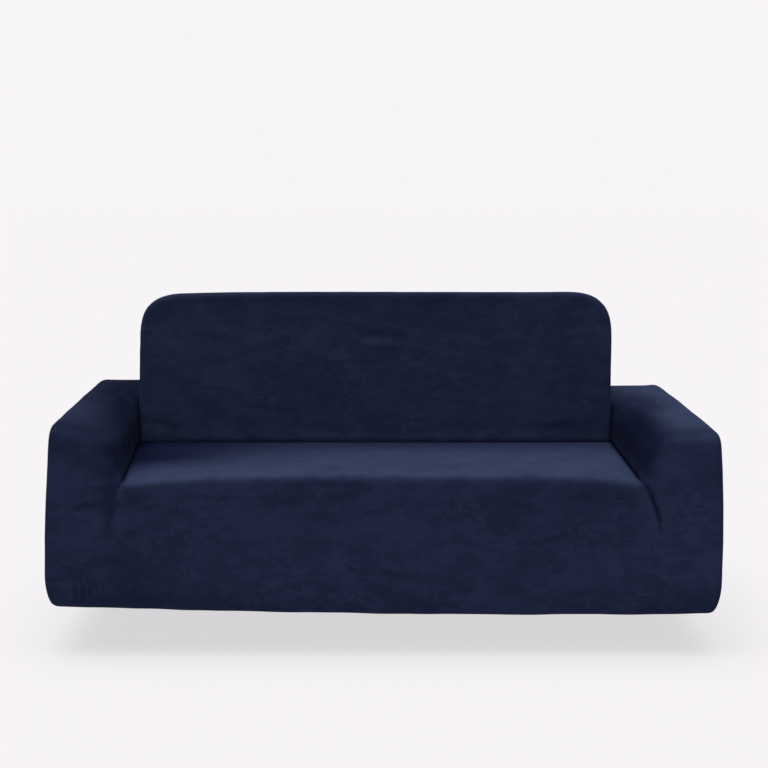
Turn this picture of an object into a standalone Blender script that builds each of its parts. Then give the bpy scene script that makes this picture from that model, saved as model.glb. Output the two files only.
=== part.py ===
"""Stretch cover for a small two-seat sofa, hanging in the shape of the sofa that fills it.

Metres, +Z up. X runs across the sofa, Y from its front to its back, and Z is counted from the lowest hem.
The cover is one hollow form, open below, cut into five sewn panels. The form is drawn as a cage on three
sets of lines, a line to each edge and each seam, and is smoothed by subdivision, so the round edges keep
the size of the spaces beside them. The whole is then moved so that the origin lies under the top of the
back, where the sofa holds the cover up.
"""

import bmesh
import bpy
import numpy as np
from mathutils import Vector

# Overall form
HALF_WIDTH = 0.850  # outer side of an arm, at the hem
DEPTH = 0.826
SEAT = 0.346  # heights above the hem
ARM_TOP = 0.470
BACK_TOP = 0.765
BACK_FRONT = 0.570  # front of the back, from the front of the seat
INNER = {"left": -0.681, "right": 0.656}  # inner side of each arm, where it meets the back

# Cloth
THICKNESS = 0.002
MITRE = 0.75  # least share of the cloth's thickness along a point's normal
SEAM_GAP = 0.0004  # between two panels along a flat seam
HEM_TURN = 0.060  # cloth turned under at the hem in front
SEAM_IN = 0.030  # seams at the rear lie this far in from the edge
CREASED = 0.8  # radians of inward bend past which the cloth is tucked in to a sharp line

# Soft edges: how far from an edge the cage's next line lies
ARM_EDGE = 0.054
SEAT_ROLL = 0.062
BACK_EDGE = 0.030
HEM_EDGE = 0.058
TUCK = 0.018  # beside a line where the cloth is pushed in
BACK_CORNER = 0.090  # radius of the upper corners of the back

# Unevenness of the fitted cloth
LEFT_ARM_RISE = 0.020
HEM_RISE = 0.018  # the hem climbs towards the left arm, with this power of the distance
HEM_RISE_POWER = 1.5
HEM_DRAW = 0.014  # the hem is drawn in under the sofa
HEM_DRAW_POWER = 7  # and across the sofa only at the arms' outer sides
SEAT_CROWN = 0.025
SEAT_FALL = 0.007  # the seat falls to the rear
CROWN_POWER = 4  # the seat stays full almost to its ends
SHOULDER_DROP = 0.008  # the top of the back falls away before its left corner
SHOULDER_POWER = 4
BACK_TAPER = {"left": 0.008, "right": 0.003}  # each side of the back leans in towards its top
BACK_FALL = 0.030  # the top of the back falls away to the rear
ARM_LEAN = {"left": (0.024, 2.0), "right": (0.017, 3.5)}  # outer side leans in: amount, power of height
ARM_ROUND = 0.018  # an arm's inner edge is drawn in by this much each way
ARM_FULL = {"left": 0.002, "right": 0.007}  # its outer top edge stands out
ARM_DIP = {"left": 0.020, "right": 0.006}  # its top falls by this much towards its inner edge
INNER_TOP_IN = {"left": 0.010, "right": 0.000}  # the inner side's front end comes in at its top
INNER_SEAT_IN = {"left": 0.038, "right": 0.020}  # and comes in at the seat
FOLD_RUN = {"left": 0.022, "right": 0.036}  # the fold at each end of the seat runs out down the front
FOLD_DEPTH = {"left": 0.008, "right": 0.013}  # and draws the front in along it
FOLD_END = 0.200  # down to this height
BOW = 0.005  # the front and rear stand proud at their middle

PANEL_COLOURS = {
    "seat_front_panel": (0.018, 0.028, 0.066),
    "inside_back_panel": (0.014, 0.022, 0.055),
    "outside_back_panel": (0.012, 0.019, 0.047),
    "arm_panel_left": (0.016, 0.025, 0.060),
    "arm_panel_right": (0.016, 0.025, 0.061),
}
SEAT_FRONT, INSIDE_BACK, OUTSIDE_BACK, LEFT_ARM, RIGHT_ARM = range(len(PANEL_COLOURS))

# The cage's lines. Each list holds the edges, the seams and the lines that keep the edges' roundness.
ACROSS = [
    -HALF_WIDTH,
    -HALF_WIDTH + SEAM_IN,
    INNER["left"] - ARM_EDGE,
    INNER["left"],
    INNER["left"] + BACK_EDGE,
    INNER["left"] + BACK_CORNER,
    INNER["left"] / 2,
    0.0,
    INNER["right"] / 2,
    INNER["right"] - BACK_CORNER,
    INNER["right"] - BACK_EDGE,
    INNER["right"],
    INNER["right"] + ARM_EDGE,
    HALF_WIDTH - SEAM_IN,
    HALF_WIDTH,
]
INWARDS = [
    0.0,
    HEM_TURN,
    BACK_FRONT / 2,
    BACK_FRONT - TUCK,
    BACK_FRONT,
    BACK_FRONT + BACK_EDGE,
    DEPTH - SEAM_IN,
    DEPTH,
]
UPWARDS = [
    0.0,
    HEM_EDGE,
    SEAT / 2,
    SEAT - SEAT_ROLL,
    SEAT,
    SEAT + TUCK,
    ARM_TOP - ARM_EDGE,
    ARM_TOP,
    ARM_TOP + TUCK,
    (ARM_TOP + BACK_TOP) / 2,
    BACK_TOP - BACK_CORNER,
    BACK_TOP - BACK_EDGE,
    BACK_TOP,
]

# The six ways a cell of the cage can face: axis, step along it, and the face's corners in order.
FACINGS = {
    "right": (0, 1, ((1, 0, 0), (1, 1, 0), (1, 1, 1), (1, 0, 1))),
    "left": (0, -1, ((0, 0, 0), (0, 0, 1), (0, 1, 1), (0, 1, 0))),
    "rear": (1, 1, ((0, 1, 0), (0, 1, 1), (1, 1, 1), (1, 1, 0))),
    "front": (1, -1, ((0, 0, 0), (1, 0, 0), (1, 0, 1), (0, 0, 1))),
    "above": (2, 1, ((0, 0, 1), (1, 0, 1), (1, 1, 1), (0, 1, 1))),
    "below": (2, -1, ((0, 0, 0), (0, 1, 0), (1, 1, 0), (1, 0, 0))),
}


def clear_scene():
    for obj in list(bpy.data.objects):
        bpy.data.objects.remove(obj)


def between_arms(x):
    return INNER["left"] < x < INNER["right"]


def filled(x, y, z):
    """Whether the sofa fills this point of the cage."""
    if z < SEAT:
        return True
    if z < ARM_TOP:
        return not between_arms(x) or y > BACK_FRONT
    return between_arms(x) and y > BACK_FRONT


def in_rear_border(x, z):
    """Whether a point of the rear lies in the border that the other panels carry round from their side."""
    top = BACK_TOP - BACK_EDGE if between_arms(x) else ARM_TOP - ARM_EDGE
    back_sides = not INNER["left"] + BACK_EDGE < x < INNER["right"] - BACK_EDGE
    return abs(x) > HALF_WIDTH - SEAM_IN or z > top or (z > ARM_TOP and back_sides)


def panel_of(x, y, z, facing):
    """The panel that covers the cage's face of the cell round this point, on the side that it faces."""
    if facing == "rear" and not in_rear_border(x, z):
        return OUTSIDE_BACK
    if facing == "below" and y > DEPTH - HEM_TURN and abs(x) < HALF_WIDTH - SEAM_IN:
        return OUTSIDE_BACK
    if not between_arms(x):
        return LEFT_ARM if x < 0 else RIGHT_ARM
    return INSIDE_BACK if z > SEAT else SEAT_FRONT


def share(value, start, end):
    """How far a value has come from start to end, from 0 to 1."""
    return float(np.clip((value - start) / (end - start), 0, 1))


def arm_rounding(x, y, z, side, out):
    """An arm's inner edges are drawn in to a fuller round, and its top dips towards the upper one."""
    at_top = share(z, ARM_TOP - ARM_EDGE, ARM_TOP)
    at_inner = share(out * x, out * INNER[side] + ARM_EDGE, out * INNER[side])
    at_outer = share(out * x, HALF_WIDTH - SEAM_IN, HALF_WIDTH)
    at_inner *= share(y, BACK_FRONT, BACK_FRONT - TUCK)
    at_front = share(y, HEM_TURN, 0) * at_inner * share(z, SEAT, SEAT + TUCK)
    across = ARM_ROUND * max(at_inner * at_top, at_front) + ARM_FULL[side] * at_outer * at_top
    dip = ARM_DIP[side] * share(out * x, HALF_WIDTH - SEAM_IN, out * INNER[side] + ARM_EDGE)
    dip *= share(y, BACK_FRONT, BACK_FRONT - TUCK)
    rise = ARM_FULL[side] * at_outer - ARM_ROUND * at_inner - dip
    return Vector((out * across, ARM_ROUND * at_front, rise * at_top))


def arm_shift(x, y, z, side, out):
    """The arm leans in outside as it rises and is splayed inside, and the left arm stands higher."""
    inner = INNER[side]
    to_outside = (x - inner) / (out * HALF_WIDTH - inner)
    lean, power = ARM_LEAN[side]
    up_inner_side = share(z, SEAT, ARM_TOP)
    splay = -up_inner_side * INNER_TOP_IN[side] - (1 - up_inner_side) * INNER_SEAT_IN[side]
    splay += FOLD_RUN[side] * share(z, SEAT, SEAT - SEAT_ROLL)
    across = (1 - to_outside) * share(y, BACK_FRONT, 0) * splay
    across -= to_outside * lean * (z / ARM_TOP) ** power
    rise = LEFT_ARM_RISE * up_inner_side if side == "left" else 0
    return Vector((out * across, 0, rise)) + arm_rounding(x, y, z, side, out)


def seat_shift(x, y, z, side, out):
    """The seat widens and narrows with the folds at its ends, and is crowned."""
    to_end = x / INNER[side]
    to_front = share(y, BACK_FRONT, 0)
    splay = FOLD_RUN[side] * share(z, SEAT, SEAT - SEAT_ROLL) - INNER_SEAT_IN[side]
    crown = 0
    if y < BACK_FRONT:
        crown = SEAT_CROWN * (1 - to_end**CROWN_POWER) * to_front * z / SEAT
    return Vector((out * to_end * to_front * splay, 0, crown))


def corner_shift(x, z, side, out):
    """Draws the square upper corner of the back in to an arc, and the lines inside it with it."""
    across = share(out * x, out * INNER[side] - BACK_CORNER, out * INNER[side])
    up = share(z, BACK_TOP - BACK_CORNER, BACK_TOP)
    return BACK_CORNER * Vector(
        (out * across * (np.sqrt(1 - up**2 / 2) - 1), 0, up * (np.sqrt(1 - across**2 / 2) - 1))
    )


def back_shift(x, y, z, side, out):
    """The back has round upper corners, leaning sides, a top that falls to the rear and a low left shoulder."""
    height = share(z, ARM_TOP, BACK_TOP)
    to_side = x / INNER[side]
    fall = BACK_FALL * height * share(y, BACK_FRONT + BACK_EDGE, DEPTH)
    if side == "left":
        fall += SHOULDER_DROP * height * to_side**SHOULDER_POWER
        fall -= LEFT_ARM_RISE * (1 - height) * share(z, SEAT, ARM_TOP) * to_side
    taper = BACK_TAPER[side] * height * to_side
    return corner_shift(x, z, side, out) - Vector((out * taper, 0, fall))


def hem_shift(x, y, z):
    """The hem climbs to the left and is drawn in under the sofa."""
    shift = Vector((0, 0, 0))
    if x < 0:
        shift.z = HEM_RISE * (-x / HALF_WIDTH) ** HEM_RISE_POWER * share(z, SEAT, 0)
    if z == 0:
        shift.x = -HEM_DRAW * (x / HALF_WIDTH) ** HEM_DRAW_POWER
        shift.y = HEM_DRAW * (1 - 2 * y / DEPTH)
    return shift


def bow(x, y, z):
    """How far the front and the rear stand proud of their planes, and the folds in the front lie back."""
    across = 1 - (x / HALF_WIDTH) ** 2
    depth = 0
    if y == 0 and z <= SEAT:
        depth = -BOW * across * np.sin(np.pi * z / SEAT)
        for side, inner in INNER.items():
            if x == inner:
                depth += FOLD_DEPTH[side] * share(z, FOLD_END, SEAT - SEAT_ROLL)
    elif y == DEPTH:
        depth = BOW * across * np.sin(np.pi * z / BACK_TOP)
    return depth


def shaped(x, y, z):
    """Moves a crossing of the cage's straight lines to its place on the soft, uneven form."""
    side, out = ("left", -1) if x < 0 else ("right", 1)
    place = Vector((x, y + bow(x, y, z), z)) + hem_shift(x, y, z)
    place.z -= SEAT_FALL * share(y, 0, BACK_FRONT) * min(z / SEAT, share(z, ARM_TOP, SEAT))
    if not between_arms(x) and z <= ARM_TOP:
        place += arm_shift(x, y, z, side, out)
    elif z <= SEAT:
        place += seat_shift(x, y, z, side, out)
    else:
        place += back_shift(x, y, z, side, out)
    return place


def cage():
    """The form's outer faces on the cage's lines, with the hem turned under and the tucked lines creased."""
    lines = (ACROSS, INWARDS, UPWARDS)
    middles = [(np.array(line[1:]) + line[:-1]) / 2 for line in lines]
    shape = tuple(len(middle) for middle in middles)
    bm = bmesh.new()
    points = {}

    def point(index):
        if index not in points:
            points[index] = bm.verts.new(shaped(*(line[i] for line, i in zip(lines, index))))
        return points[index]

    def is_filled(cell):
        inside = all(0 <= i < n for i, n in zip(cell, shape))
        return inside and filled(*(middle[i] for middle, i in zip(middles, cell)))

    for cell in filter(is_filled, np.ndindex(*shape)):
        in_hem = cell[0] in (0, shape[0] - 1) or cell[1] in (0, shape[1] - 1)
        for facing, (axis, step, corners) in FACINGS.items():
            beyond = list(cell)
            beyond[axis] += step
            if is_filled(beyond) or (facing == "below" and not in_hem):
                continue
            face = bm.faces.new(
                point(tuple(c + d for c, d in zip(cell, corner))) for corner in corners
            )
            face.material_index = panel_of(*(m[i] for m, i in zip(middles, cell)), facing)

    bm.normal_update()
    crease = bm.edges.layers.float.new("crease_edge")
    for edge in bm.edges:
        if len(edge.link_faces) == 2 and edge.calc_face_angle_signed() < -CREASED:
            edge[crease] = 1.0
    mesh = bpy.data.meshes.new("cage")
    bm.to_mesh(mesh)
    bm.free()
    return mesh


def smooth_form(levels):
    """The cage smoothed to the cover's outer surface, each face keeping its panel's number."""
    obj = bpy.data.objects.new("form", cage())
    bpy.context.scene.collection.objects.link(obj)
    for _ in PANEL_COLOURS:
        obj.data.materials.append(None)
    smoothing = obj.modifiers.new("Smooth", "SUBSURF")
    smoothing.levels = levels
    smoothing.render_levels = levels
    graph = bpy.context.evaluated_depsgraph_get()
    mesh = bpy.data.meshes.new_from_object(obj.evaluated_get(graph))
    bpy.data.objects.remove(obj)
    return mesh


def steps_through_cloth(mesh):
    """For each point, the step from the cloth's right side to its wrong side, longer along tucked lines."""
    normals = np.array([v.normal for v in mesh.vertices])
    alignment = np.zeros(len(normals))
    count = np.zeros(len(normals))
    for face in mesh.polygons:
        corners = list(face.vertices)
        alignment[corners] += normals[corners] @ np.array(face.normal)
        count[corners] += 1
    return -THICKNESS * normals / np.maximum(alignment / count, MITRE)[:, None]


def cut_edges(faces):
    """The panel's edge, as pairs of points in the order of the face beside them, each with that face."""
    pairs = {}
    for face in faces:
        for a, b in zip(face, np.roll(face, -1)):
            pairs[int(a), int(b)] = face
    return {pair: face for pair, face in pairs.items() if pair[::-1] not in pairs}


def seam_steps(points, edges):
    """For each point on the panel's edge, the short step into the panel that leaves the gap at the seam."""
    inwards = {}
    for (a, b), face in edges.items():
        along = (points[b] - points[a]) / np.linalg.norm(points[b] - points[a])
        to_middle = points[face].mean(axis=0) - points[a]
        inward = to_middle - along * (to_middle @ along)
        for end in (a, b):
            inwards.setdefault(end, []).append(inward / np.linalg.norm(inward))
    return {
        index: SEAM_GAP / 2 * (first + second) / (1 + first @ second)
        for index, (first, second) in inwards.items()
    }


def halves(points, face):
    """A four-sided face cut along its shorter diagonal."""
    a, b, c, d = face
    if np.linalg.norm(points[a] - points[c]) <= np.linalg.norm(points[b] - points[d]):
        return [(a, b, c), (a, c, d)]
    return [(a, b, d), (b, c, d)]


def panel_mesh(name, form, through_cloth, panel):
    """One panel as a closed sheet: its right side, its wrong side and the cut edge between them."""
    points = np.array([v.co for v in form.vertices])
    faces = [np.array(f.vertices) for f in form.polygons if f.material_index == panel]
    edges = cut_edges(faces)
    right_side = points.copy()
    for index, step in seam_steps(points, edges).items():
        right_side[index] += step
    used = sorted({int(i) for face in faces for i in face})
    place = {old: new for new, old in enumerate(used)}
    wrong = len(used)

    sheet = []
    for face in faces:
        for half in halves(points, face):
            a, b, c = (place[i] for i in half)
            sheet.append((a, b, c))
            sheet.append((c + wrong, b + wrong, a + wrong))
    for a, b in edges:
        # Two panels cut the faces of their shared seam along the same diagonal, so the gap stays even.
        ends = (b, a) if a > b else (a, b)
        sheet.append((place[b], place[a], place[ends[0]] + wrong))
        sheet.append((place[ends[1]], place[a] + wrong, place[b] + wrong))
    mesh = bpy.data.meshes.new(name)
    mesh.from_pydata(
        np.concatenate([right_side[used], right_side[used] + through_cloth[used]]).tolist(), [], sheet
    )
    mesh.shade_smooth()
    mesh.set_sharp_from_angle(angle=np.radians(50))
    return mesh


def velvet(name, colour):
    material = bpy.data.materials.new(name)
    material.use_nodes = True
    shader = material.node_tree.nodes["Principled BSDF"]
    shader.inputs["Base Color"].default_value = (*colour, 1)
    shader.inputs["Roughness"].default_value = 0.85
    shader.inputs["Metallic"].default_value = 0.0
    shader.inputs["Sheen Weight"].default_value = 0.6
    return material


def main():
    clear_scene()
    hold = bpy.data.objects.new("held_under_back_top", None)
    middle = Vector(((INNER["left"] + INNER["right"]) / 2, (BACK_FRONT + DEPTH) / 2, BACK_TOP))
    fall = BACK_FALL * share(middle.y, BACK_FRONT + BACK_EDGE, DEPTH)
    hold.location = -(middle - Vector((0, 0, fall + THICKNESS)))
    bpy.context.scene.collection.objects.link(hold)

    form = smooth_form(levels=1)
    through_cloth = steps_through_cloth(form)
    for panel, (name, colour) in enumerate(PANEL_COLOURS.items()):
        obj = bpy.data.objects.new(name, panel_mesh(name, form, through_cloth, panel))
        obj.data.materials.append(velvet(name, colour))
        obj.parent = hold
        bpy.context.scene.collection.objects.link(obj)
    bpy.data.meshes.remove(form)


main()
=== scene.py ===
"""Dresses the stretch sofa cover: five sewn panels of crushed velvet, pulled tight over a small sofa.

Metres, +Z up. The form is worked out as a tailor measures it, with X from the middle, Y from the front and Z
from the lowest hem. It is moved at the end to the cover's own frame, whose origin lies under the top of the
back, where the sofa holds the cover up.
"""

import math

import bmesh
import bpy
import numpy as np
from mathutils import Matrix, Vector, kdtree


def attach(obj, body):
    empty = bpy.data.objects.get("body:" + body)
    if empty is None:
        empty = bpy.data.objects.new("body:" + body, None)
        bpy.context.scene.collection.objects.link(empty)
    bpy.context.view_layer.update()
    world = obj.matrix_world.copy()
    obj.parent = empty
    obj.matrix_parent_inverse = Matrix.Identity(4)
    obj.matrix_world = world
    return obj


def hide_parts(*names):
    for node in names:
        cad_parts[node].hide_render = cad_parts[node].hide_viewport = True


# Overall form
HALF_WIDTH = 0.850
DEPTH = 0.826
SEAT = 0.346
ARM_TOP = 0.470
BACK_TOP = 0.765
BACK_FRONT = 0.570
INNER = {"left": -0.681, "right": 0.656}  # the arms' inner faces at the rear

# Soft edges: how far in from an edge its round starts
ARM_EDGE = 0.054
SEAT_ROLL = 0.062
BACK_EDGE = 0.030
BACK_CORNER = 0.090
HEM_EDGE = 0.058
TUCK = 0.018

# Hem and seams
HEM_TURN = 0.060
SEAM_IN = 0.030

# Unevenness of the hem: it climbs to the left, sags right of the middle and is drawn in at its foot
HEM_RISE = 0.018
HEM_RISE_POWER = 1.5
HEM_SAG = 0.0045
HEM_SAG_LEFT = (-0.10, 0.20)  # where the sag sets in, and where it is full
HEM_SAG_RIGHT = (0.85, 0.60)
HEM_DRAW = 0.014
HEM_DRAW_POWER = 7

# Unevenness of the seat and the back
SEAT_CROWN = 0.025
CROWN_POWER = {"left": 4, "right": 8}
SEAT_FALL = 0.007
SHOULDER_DROP = 0.008
SHOULDER_POWER = 4
BACK_TAPER = {"left": 0.008, "right": 0.003}
BACK_FALL = 0.030
CORNER_ROUND = {"left": 1.00, "right": 1.12}
BOW = 0.005  # how far the front and the rear stand proud of their planes

# Unevenness of the arms
LEFT_ARM_RISE = 0.020
ARM_LEAN = {"left": (0.024, 2.0), "right": (0.017, 3.5)}  # how far in at the top, and its power
ARM_ROUND = 0.018
ARM_FULL = {"left": 0.002, "right": 0.007}
ARM_DIP = {"left": 0.020, "right": 0.006}
ARM_FALL = {"left": 0.008, "right": 0.005}
ARM_FALL_FROM = 0.740
INNER_TOP_IN = {"left": 0.010, "right": 0.000}
INNER_SEAT_IN = {"left": 0.038, "right": 0.020}

# Folds down the front from the ends of the seat, as far as the cage shapes them
FOLD_RUN = {"left": 0.022, "right": 0.036}
FOLD_DEPTH = {"left": 0.008, "right": 0.013}
FOLD_END = 0.200

# The net of the cloth
LONGEST_CELL = 0.060
SMOOTHINGS = 3
CREASED = 0.8  # inner angle, in radians, past which an edge of the cage stays sharp
THICKNESS = 0.002
MITRE = 0.75  # least alignment that the thickness is divided by, so that no corner spikes
LEAST_ALIGNMENT = 0.5

# Where the cloth is pushed into the sofa along its seams, and how its lips roll in
TUCK_DEPTH = 0.0042
TUCK_LIP = 0.0040
# Painted shade along the tucks: how deep it is and how far from the seam it reaches
TUCK_PAINTED_SHADE = 0.46
TUCK_SHADE = 0.0030
TUCK_BEND = (0.92, 0.80)  # alignment at which a seam starts to sink, and at which it sinks fully
TUCK_FADES = 0.08  # distance below the arms' tops over which the tucks fade away
FRONT_TUCK = (0.318, 0.336)  # heights between which the seat's seams start to sink at their front
TUCKS_ABOVE = 0.30  # no seam is tucked in below this height
SEAM_STEP = 0.0012  # distance between the points at which a seam is told
SEAM_WIDTH = 0.0006  # points this near to a seam lie on it
REAR_FROM = (0.500, 0.550)  # depths between which the tuck along the seat's rear takes over
REAR_SEAT_HELD = 0.95  # share of the sinking that the seat is spared there
REAR_BACK_HELD = 0.40  # the same for the foot of the back
REAR_MORE_PAINTED_SHADE = 1.2  # how much more painted shade lies along the seat's rear tuck
FRONT_DEPTH = 0.075  # no seam shows nearer to the front than this
NO_SEAM = 1.0  # a distance that is far from any seam

# Soft unevenness: height, seed, number of waves, and the longest and the shortest
SWELLS = (0.0005, 11, 14, 0.42, 0.16)
RIPPLES = (0.00018, 12, 22, 0.11, 0.045)
HEM_WAVES = (0.0008, 13, 12, 0.30, 0.09)
WAVE_LEAN = (0.6, 1.0, 1.3)  # how readily the waves run across, inwards and upwards
CALM_BY_SEAM = 0.03  # distance from a seam over which the unevenness grows to its full height
HEM_WAVES_BELOW = 0.018  # height up to which the hem waves fully, and how fast that fades above it
HEM_WAVES_FADE = 0.03

PANELS = {  # each panel's node, and its flat cut: width, length and area
    "seat_front": ("seat_front_panel", 1.45, 0.98, 1.25),
    "inside_back": ("inside_back_panel", 1.48, 0.78, 1.05),
    "outside_back": ("outside_back_panel", 1.68, 0.80, 1.07),
    "arm_left": ("arm_panel_left", 1.10, 0.86, 0.69),
    "arm_right": ("arm_panel_right", 1.10, 0.86, 0.72),
}
SEAT_FRONT, INSIDE_BACK, OUTSIDE_BACK, LEFT_ARM, RIGHT_ARM = range(len(PANELS))

# The cage's straight lines across, inwards from the front and upwards from the hem
ACROSS = [
    -HALF_WIDTH,
    -HALF_WIDTH + SEAM_IN,
    INNER["left"] - ARM_EDGE,
    INNER["left"],
    INNER["left"] + BACK_EDGE,
    INNER["left"] + BACK_CORNER,
    INNER["left"] / 2,
    0.0,
    INNER["right"] / 2,
    INNER["right"] - BACK_CORNER,
    INNER["right"] - BACK_EDGE,
    INNER["right"],
    INNER["right"] + ARM_EDGE,
    HALF_WIDTH - SEAM_IN,
    HALF_WIDTH,
]
INWARDS = [
    0.0,
    HEM_TURN,
    BACK_FRONT / 2,
    BACK_FRONT - TUCK,
    BACK_FRONT,
    BACK_FRONT + BACK_EDGE,
    DEPTH - SEAM_IN,
    DEPTH,
]
UPWARDS = [
    0.0,
    HEM_EDGE,
    SEAT / 2,
    SEAT - SEAT_ROLL,
    SEAT,
    SEAT + TUCK,
    ARM_TOP - ARM_EDGE,
    ARM_TOP,
    ARM_TOP + TUCK,
    (ARM_TOP + BACK_TOP) / 2,
    BACK_TOP - BACK_CORNER,
    BACK_TOP - BACK_EDGE,
    BACK_TOP,
]

PAINTED_LIGHT_LEVEL = 0.84  # painted light that all the cloth gets before its painted shade, below 1 so that painted light can lighten it
UP = (0, 0, 1)
FORWARD = (0, -1, 0)

# Painted shade on cloth that faces one way, and painted light where the depth is less than 0:
# each patch's middle, its reach three ways, the way the cloth faces and the patch's depth
PAINTED_SHADE_PATCHES = [
    # Seat: its left end and its rear
    ((-0.680, 0.33, 0.350), (0.220, 0.16, 0.040), UP, 0.92),
    ((-0.580, 0.33, 0.350), (0.260, 0.16, 0.040), UP, 0.48),
    ((-0.620, 0.57, 0.345), (0.340, 0.20, 0.040), UP, 0.78),
    ((-0.662, 0.55, 0.345), (0.046, 0.13, 0.040), UP, 0.75),
    ((0.000, 0.57, 0.345), (0.900, 0.20, 0.030), UP, 0.45),
    # Left arm: its inner side, the inner edge of its top, its top and the front of that, and its outer edge
    ((-0.662, 0.25, 0.420), (0.040, 0.45, 0.070), (1, 0, 0), 0.75),
    ((-0.680, 0.45, 0.470), (0.090, 0.50, 0.060), (0.5, 0, 0.87), 0.95),
    ((-0.770, 0.60, 0.485), (0.150, 0.40, 0.050), UP, 0.58),
    ((-0.725, 0.68, 0.484), (0.100, 0.18, 0.050), UP, 0.90),
    ((-0.780, 0.38, 0.484), (0.100, 0.20, 0.050), UP, 0.33),
    ((-0.780, 0.03, 0.480), (0.140, 0.13, 0.050), UP, 0.70),
    ((-0.800, 0.01, 0.453), (0.130, 0.06, 0.026), (0, -0.9, 0.45), 0.30),
    ((-0.820, 0.00, 0.420), (0.100, 0.06, 0.035), (0, -0.98, 0.2), 0.25),
    ((-0.850, 0.01, 0.250), (0.035, 0.06, 0.160), (-0.6, -0.8, 0), 0.30),
    # Right arm: its inner side, the inner edge of its top and the front of its top
    ((0.650, 0.25, 0.420), (0.040, 0.50, 0.080), (-1, 0, 0), 0.92),
    ((0.668, 0.24, 0.460), (0.050, 0.45, 0.060), (-0.5, 0, 0.87), 0.93),
    ((0.690, 0.27, 0.468), (0.042, 0.24, 0.060), (-0.2, 0, 0.98), 0.72),
    ((0.735, 0.48, 0.468), (0.050, 0.16, 0.060), UP, 0.65),
    ((0.760, 0.02, 0.475), (0.140, 0.10, 0.050), UP, 0.50),
    # Front: by the left fold, at the foot of each arm's inner corner, below the seat's edge and low down
    ((-0.682, 0.00, 0.315), (0.018, 0.05, 0.050), FORWARD, 0.30),
    ((-0.668, 0.00, 0.338), (0.016, 0.05, 0.018), (0, -0.9, 0.4), 0.30),
    ((-0.676, 0.00, 0.272), (0.013, 0.05, 0.025), FORWARD, 0.20),
    ((-0.625, 0.00, 0.300), (0.030, 0.05, 0.030), FORWARD, 0.22),
    ((-0.668, 0.01, 0.360), (0.024, 0.05, 0.020), (0.2, -0.6, 0.75), 0.60),
    ((0.652, 0.01, 0.362), (0.024, 0.05, 0.020), (-0.2, -0.6, 0.75), 0.65),
    ((0.000, 0.00, 0.305), (0.900, 0.05, 0.070), (0, -1, 0.1), 0.20),
    ((-0.651, 0.00, 0.322), (0.007, 0.05, 0.020), FORWARD, -0.40),
    ((-0.720, 0.00, 0.130), (0.160, 0.05, 0.110), FORWARD, 0.15),
    ((-0.625, 0.00, 0.090), (0.060, 0.05, 0.070), FORWARD, 0.16),
    ((-0.650, 0.00, 0.175), (0.050, 0.05, 0.070), FORWARD, 0.18),
    ((0.000, 0.00, 0.205), (0.900, 0.05, 0.040), FORWARD, 0.08),
    ((0.000, 0.00, 0.016), (0.900, 0.08, 0.036), (0, -0.9, -0.4), -0.28),
    # Inside back: beside the left arm, its foot, and the front and the top of its upper edge
    ((-0.665, 0.57, 0.400), (0.030, 0.05, 0.060), FORWARD, -0.28),
    ((0.000, 0.57, 0.356), (0.900, 0.05, 0.016), FORWARD, -0.20),
    ((0.000, 0.57, 0.757), (0.900, 0.05, 0.018), (0, -1, 0.3), 0.28),
    ((0.000, 0.57, 0.710), (0.900, 0.05, 0.045), FORWARD, 0.12),
    ((0.000, 0.61, 0.775), (0.900, 0.12, 0.032), (0, -0.5, 0.87), 0.72),
]

# The ways that a face of the cage can look: its axis, the step along it, and its corners in turn
FACINGS = {
    "right": (0, 1, ((1, 0, 0), (1, 1, 0), (1, 1, 1), (1, 0, 1))),
    "left": (0, -1, ((0, 0, 0), (0, 0, 1), (0, 1, 1), (0, 1, 0))),
    "rear": (1, 1, ((0, 1, 0), (0, 1, 1), (1, 1, 1), (1, 1, 0))),
    "front": (1, -1, ((0, 0, 0), (1, 0, 0), (1, 0, 1), (0, 0, 1))),
    "above": (2, 1, ((0, 0, 1), (1, 0, 1), (1, 1, 1), (0, 1, 1))),
    "below": (2, -1, ((0, 0, 0), (0, 1, 0), (1, 1, 0), (1, 0, 0))),
}

LEFT_FOLD = [
    (-0.649, 0, 0.350),
    (-0.659, 0, 0.328),
    (-0.669, 0, 0.305),
    (-0.673, 0, 0.280),
    (-0.680, 0, 0.235),
    (-0.686, 0, 0.185),
]
RIGHT_FOLD = [
    (0.640, 0, 0.350),
    (0.650, 0, 0.335),
    (0.663, 0, 0.310),
    (0.676, 0, 0.278),
    (0.684, 0, 0.250),
    (0.690, 0, 0.205),
]

# The folds that run down the front from the ends of the seat: each one's line, its depth, its half width and
# how deep the painted shade in it is
FRONT_FOLDS = [(LEFT_FOLD, 0.0020, 0.0125, 0.28), (RIGHT_FOLD, 0.0060, 0.0050, 0.85)]
FOLD_REACH = 0.2  # how much depth counts beside a fold's line, so that it runs over the rolled edge

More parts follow.
